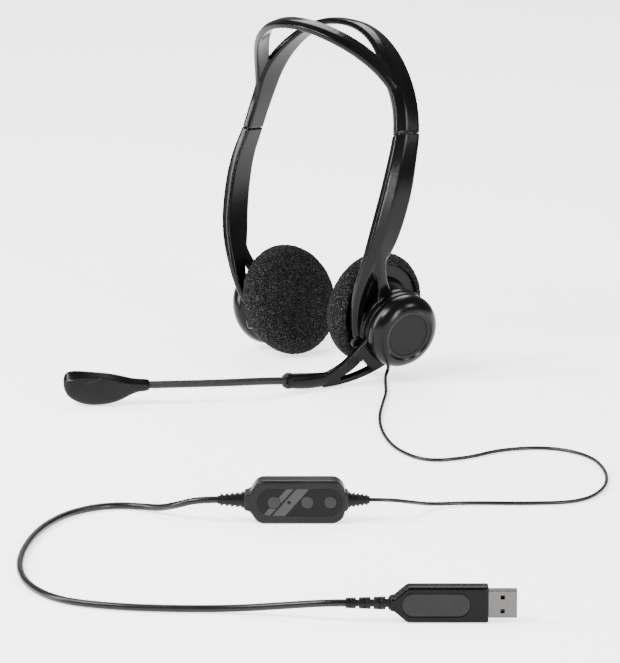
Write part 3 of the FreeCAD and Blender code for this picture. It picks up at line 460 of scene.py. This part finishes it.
NECK_ROUTE = [  # control points from the boom's collar to the microphone; the third is the bend's pivot
    (0.03939, 0.00725, 0.00615),
    (0.03781, -0.00453, 0.00779),
    (0.03284, -0.03513, 0.01039),
    (0.01002, -0.06302, 0.00985),
]
NECK_R = 1.95 * MM
RING_PITCH = 1.05 * MM
RING_DEPTH = 0.2 * MM
RING_STEPS = 8
CURVE_STEPS = 200


def curve_points(points, step):
    """Even points on the smooth line that the control points draw."""
    spots = [Vector(p) for p in points]
    middles = [(a + b) / 2 for a, b in zip(spots[1:-1], spots[2:-1])]
    pieces = list(zip([spots[0]] + middles, spots[1:-1], middles + [spots[-1]]))
    fine = []
    for start, pull, end in pieces:
        for i in range(CURVE_STEPS):
            t = i / CURVE_STEPS
            fine.append(start * (1 - t) ** 2 + pull * 2 * t * (1 - t) + end * t * t)
    fine.append(spots[-1])
    even, left = [fine[0]], step
    for a, b in zip(fine, fine[1:]):
        reach = (b - a).length
        while left <= reach:
            even.append(a.lerp(b, left / reach))
            left += step
        left -= reach
    return even


def lathed(name, centres, radius_at, material, sides=24):
    """A tube along the centres whose radius is set for each ring and each angle round it."""
    verts, faces = [], []
    side = Vector((0, 0, 1))
    for i, centre in enumerate(centres):
        along = (centres[min(i + 1, len(centres) - 1)] - centres[max(i - 1, 0)]).normalized()
        side = (side - along * side.dot(along)).normalized()
        third = along.cross(side)
        for k in range(sides):
            turn = 2 * math.pi * k / sides
            radius = radius_at(i, turn)
            verts.append(centre + (side * math.cos(turn) + third * math.sin(turn)) * radius)
    for i in range(len(centres) - 1):
        for k in range(sides):
            a, b = i * sides + k, i * sides + (k + 1) % sides
            faces.append((a, b, b + sides, a + sides))
    faces.append(tuple(reversed(range(sides))))
    faces.append(tuple(range(len(verts) - sides, len(verts))))
    mesh = bpy.data.meshes.new(name)
    mesh.from_pydata(verts, [], faces)
    return linked(name, mesh, material)


def make_gooseneck():
    """The flexible neck: one closely ringed sleeve."""
    centres = curve_points(NECK_ROUTE, RING_PITCH / RING_STEPS)

    def radius_at(i, _turn):
        return NECK_R - RING_DEPTH * (0.5 - 0.5 * math.cos(2 * math.pi * i / RING_STEPS)) ** 2

    neck = lathed("gooseneck", centres, radius_at, materials["gooseneck_braid"])
    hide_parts("gooseneck_lower", "gooseneck_upper")
    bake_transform(neck)


RELIEF_LENGTH = 18.6 * MM
RELIEF_TIP_R, RELIEF_ROOT_R = 2.2 * MM, 2.9 * MM
RELIEF_STEP, RELIEF_SIDES = 0.12 * MM, 48
NOTCHES, NOTCH_HALF, NOTCH_DEPTH = 6, 0.6 * MM, 1.0 * MM
NOTCH_SPREAD = 0.45  # a notch is open where the sleeve faces its side by more than this share


def make_plug_relief():
    """The plug's strain relief: a tapered sleeve, notched by turns above and below and at its sides."""
    start = Vector(USB_CORD[-1])
    along = (start - Vector(USB_CORD[-2])).normalized()
    count = round(RELIEF_LENGTH / RELIEF_STEP)
    centres = [start + along * (RELIEF_LENGTH * i / count) for i in range(count + 1)]

    def radius_at(i, turn):
        reach = RELIEF_LENGTH * i / count
        radius = RELIEF_TIP_R + (RELIEF_ROOT_R - RELIEF_TIP_R) * i / count
        for k in range(NOTCHES):
            middle = (k + 0.6) * RELIEF_LENGTH / NOTCHES
            facing = abs(math.cos(turn)) if k % 2 else abs(math.sin(turn))
            if abs(reach - middle) < NOTCH_HALF and facing > NOTCH_SPREAD:
                radius -= NOTCH_DEPTH
        return radius

    relief = lathed(
        "plug_relief_sleeve", centres, radius_at, materials["relief_rubber"], RELIEF_SIDES
    )
    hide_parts("usb_relief")
    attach(relief, "left_arm")
    return relief


MIC_ORIGIN = Vector((0.01192, -0.06070, 0.00989))  # at the microphone's neck
MIC_AXES = Matrix(  # towards the tip, down, and to the wearer's left
    (
        (-0.63319, 0.12509, 0.76382),
        (-0.77386, -0.08328, -0.62786),
        (-0.01493, -0.98864, 0.14954),
    )
)
MIC_SHAPE = [  # mm from the neck, drop of the middle, half height, half depth, where the bevel starts
    (-0.2, 0.0, 2.5, 2.5, 0.10),
    (0.6, 0.0, 2.9, 2.9, 0.10),
    (5.0, 0.1, 3.3, 3.1, 0.20),
    (9.0, 0.5, 4.3, 3.4, 0.30),
    (13.0, 1.0, 5.8, 3.9, 0.46),
    (18.0, 1.3, 7.2, 4.4, 0.62),
    (24.0, 1.3, 8.0, 4.7, 0.66),
    (31.0, 0.8, 8.2, 4.6, 0.60),
    (36.5, -0.3, 7.4, 4.2, 0.42),
    (39.6, -1.2, 6.0, 3.5, 0.30),
    (41.2, -1.8, 4.0, 2.4, 0.20),
    (41.9, -2.1, 1.8, 1.1, 0.15),
]


def between(rows, x):
    """The row of values at x, smoothly between the rows given."""
    for i in range(len(rows) - 1):
        if x <= rows[i + 1][0]:
            break
    a, b = rows[i], rows[i + 1]
    before, after = rows[max(i - 1, 0)], rows[min(i + 2, len(rows) - 1)]
    t = (x - a[0]) / (b[0] - a[0])
    found = []
    for k in range(1, len(a)):
        rise_a = (b[k] - before[k]) / (b[0] - before[0])
        rise_b = (after[k] - a[k]) / (after[0] - a[0])
        span = b[0] - a[0]
        h00, h10 = (1 + 2 * t) * (1 - t) ** 2, t * (1 - t) ** 2
        h01, h11 = t * t * (3 - 2 * t), t * t * (t - 1)
        found.append(h00 * a[k] + h10 * span * rise_a + h01 * b[k] + h11 * span * rise_b)
    return found


MIC_RINGS = 96
RING_CROWDING = 0.8  # below 1, the rings also thin out near the neck, so that more are at the tip
FACE_COLUMNS, BEVEL_COLUMNS, BACK_COLUMNS = 30, 8, 24
ROUNDNESS = 2.6  # 2 is an ellipse, and more is squarer
BEVEL_LIP = 0.12  # how far out the bevel's top edge stands, as a share of the half depth
SLOT_START, SLOT_END = 23.5, 31.0  # the wedge-shaped sound slot, in mm from the neck
SLOT_TOP = (-4.2, 0.3)  # its upper edge, in mm down from the neck's line: at its start, and its fall
SLOT_FOOT = (-3.7, 2.4)  # its lower edge
SLOT_DEPTH = 0.6


def bulge(v):
    """How far out a section is at a height, both as shares of their halves."""
    return max(0.0, 1 - abs(v) ** ROUNDNESS) ** (1 / ROUNDNESS)


def mic_section(drop, high, deep, share):
    """Points (down, outward) round the microphone, given one row of its shape."""
    points = []
    edge = bulge(share)
    for i in range(FACE_COLUMNS):  # the face, from the lower edge up to the bevel
        v = math.cos(i / FACE_COLUMNS * (math.pi - math.acos(share)))
        points.append((v, bulge(v)))
    for i in range(BEVEL_COLUMNS):  # the bevel, up to the top edge
        t = i / BEVEL_COLUMNS
        points.append((-share - (1 - share) * t, edge * (1 - t) + BEVEL_LIP * t))
    for i in range(BACK_COLUMNS):  # the back, from the top edge down
        v = -math.cos(math.pi * i / BACK_COLUMNS)
        points.append((v, BEVEL_LIP if i == 0 else -bulge(v)))
    return [(drop + v * high, w * deep) for v, w in points]


def slot_depth(x, down, out):
    """How deep the sound slot is at a place on the microphone, or 0 where there is none."""
    wide = (x - SLOT_START) / (SLOT_END - SLOT_START)
    top, foot = SLOT_TOP[0] + SLOT_TOP[1] * wide, SLOT_FOOT[0] + SLOT_FOOT[1] * wide
    return SLOT_DEPTH if out > 0 and 0 < wide < 1 and top < down < foot else 0.0


def make_microphone():
    """The microphone's head: a matte paddle with a glossy bevel along its upper edge."""
    first, last = MIC_SHAPE[0][0], MIC_SHAPE[-1][0]
    columns = FACE_COLUMNS + BEVEL_COLUMNS + BACK_COLUMNS
    verts, faces, finish = [], [], []
    for j in range(MIC_RINGS + 1):
        x = first + (last - first) * math.sin(j / MIC_RINGS * math.pi / 2) ** RING_CROWDING
        for down, out in mic_section(*between(MIC_SHAPE, x)):
            sunk = out - slot_depth(x, down, out)
            verts.append(MIC_ORIGIN + MIC_AXES @ Vector((x, down, sunk)) * MM)
    for j in range(MIC_RINGS):
        for k in range(columns):
            a, b = j * columns + k, j * columns + (k + 1) % columns
            faces.append((a, a + columns, b + columns, b))
            finish.append(1 if FACE_COLUMNS <= k < FACE_COLUMNS + BEVEL_COLUMNS else 0)
    faces.append(tuple(range(columns)))
    faces.append(tuple(reversed(range(len(verts) - columns, len(verts)))))
    finish += [0, 1]  # the closing faces: matte at the neck, glossy at the tip
    mesh = bpy.data.meshes.new("microphone_head")
    mesh.from_pydata(verts, [], faces)
    head = linked("microphone_head", mesh, materials["mic_plastic"])
    head.data.materials.append(materials["gloss_black"])
    head.data.polygons.foreach_set("material_index", finish)
    head.data.update()
    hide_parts("mic_front_shell", "mic_back_shell")
    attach(head, "microphone")


# ---------------------------------------------------------------- cords
HEADSET_CORD_R = 0.9 * MM
USB_CORD_R = 1.6 * MM
HEADSET_CORD = [  # from the left hub, down to the floor and along it, and up into the control
    (0.0452774, 0.0676240, 0.0060106),
    (0.0446647, 0.0677660, 0.0032821),
    (0.0466, 0.0646, 0.0013),
    (0.0510, 0.0605, 0.0011),
    (0.0605, 0.0520, 0.0010),
    (0.0740, 0.0405, 0.0010),
    (0.0910, 0.0225, 0.0010),
    (0.1110, 0.0025, 0.0010),
    (0.1350, -0.0165, 0.0010),
    (0.1620, -0.0320, 0.0010),
    (0.1875, -0.0360, 0.0010),
    (0.1955, -0.0160, 0.0010),
    (0.1940, 0.0065, 0.0010),
    (0.2060, 0.0270, 0.0010),
    (0.2300, 0.0300, 0.0010),
    (0.2560, 0.0155, 0.0010),
    (0.2780, -0.0060, 0.0010),
    (0.2890, -0.0320, 0.0010),
    (0.2735, -0.0540, 0.0010),
    (0.2560, -0.0720, 0.0010),
    (0.2485, -0.0890, 0.0017),
    (0.2540, -0.1060, 0.0068),
    (0.2536201, -0.1182267, 0.0100),
    (0.2477156, -0.1250191, 0.0100),
]
USB_CORD = [  # from the control, down to the floor and along it, and up into the plug's sleeve
    (0.2028411, -0.1766412, 0.0100),
    (0.1969366, -0.1834336, 0.0100),
    (0.1880, -0.1880, 0.0066),
    (0.1770, -0.1885, 0.0030),
    (0.1660, -0.1900, 0.0017),
    (0.1570, -0.1965, 0.0017),
    (0.1520, -0.2080, 0.0017),
    (0.1535, -0.2260, 0.0017),
    (0.1660, -0.2500, 0.0017),
    (0.1875, -0.2755, 0.0017),
    (0.2110, -0.2965, 0.0017),
    (0.2360, -0.3105, 0.0017),
    (0.2620, -0.3145, 0.0017),
    (0.2840, -0.3030, 0.0017),
    (0.3030, -0.2865, 0.0017),
    (0.3215, -0.2660, 0.0019),
    (0.3410, -0.2530, 0.0052),
    (0.3553690, -0.2451128, 0.0078),
    (0.3606175, -0.2390752, 0.0078),
]


def nurbs(name, points, radius):
    """A round cord on a smooth spline with the points as its control points."""
    curve = bpy.data.curves.new(name, "CURVE")
    curve.dimensions = "3D"
    curve.bevel_depth = radius
    curve.bevel_resolution = 6
    spline = curve.splines.new("NURBS")
    spline.points.add(len(points) - 1)
    for point, place in zip(spline.points, points):
        point.co = (*place, 1)
    spline.order_u = 3
    spline.use_endpoint_u = True
    spline.resolution_u = 12
    obj = bpy.data.objects.new(name, curve)
    bpy.context.collection.objects.link(obj)
    return obj


def make_cords(plug_relief):
    """The cord from the hub to the control, and the one from the control to the plug."""
    plug = [
        nodes[n]
        for n in (
            "usb_body_front", "usb_body_back", "usb_inlay", "usb_shell",
            "usb_tongue", "usb_contacts", "usb_board",
        )
    ]
    plug.append(plug_relief)
    thin = nurbs("headset_cord_line", HEADSET_CORD, HEADSET_CORD_R)
    thin.data.materials.append(materials["cord_jacket"])
    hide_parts("headset_cord")
    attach(thin, "left_arm")
    thick = nurbs("usb_cord_line", USB_CORD, USB_CORD_R)
    thick.data.materials.append(materials["cord_jacket"])
    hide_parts("usb_cord")
    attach(thick, "left_arm")


make_camera()
make_studio()
finish_cad_nodes()
make_strips()
make_pads()
make_gooseneck()
make_microphone()
make_cords(make_plug_relief())
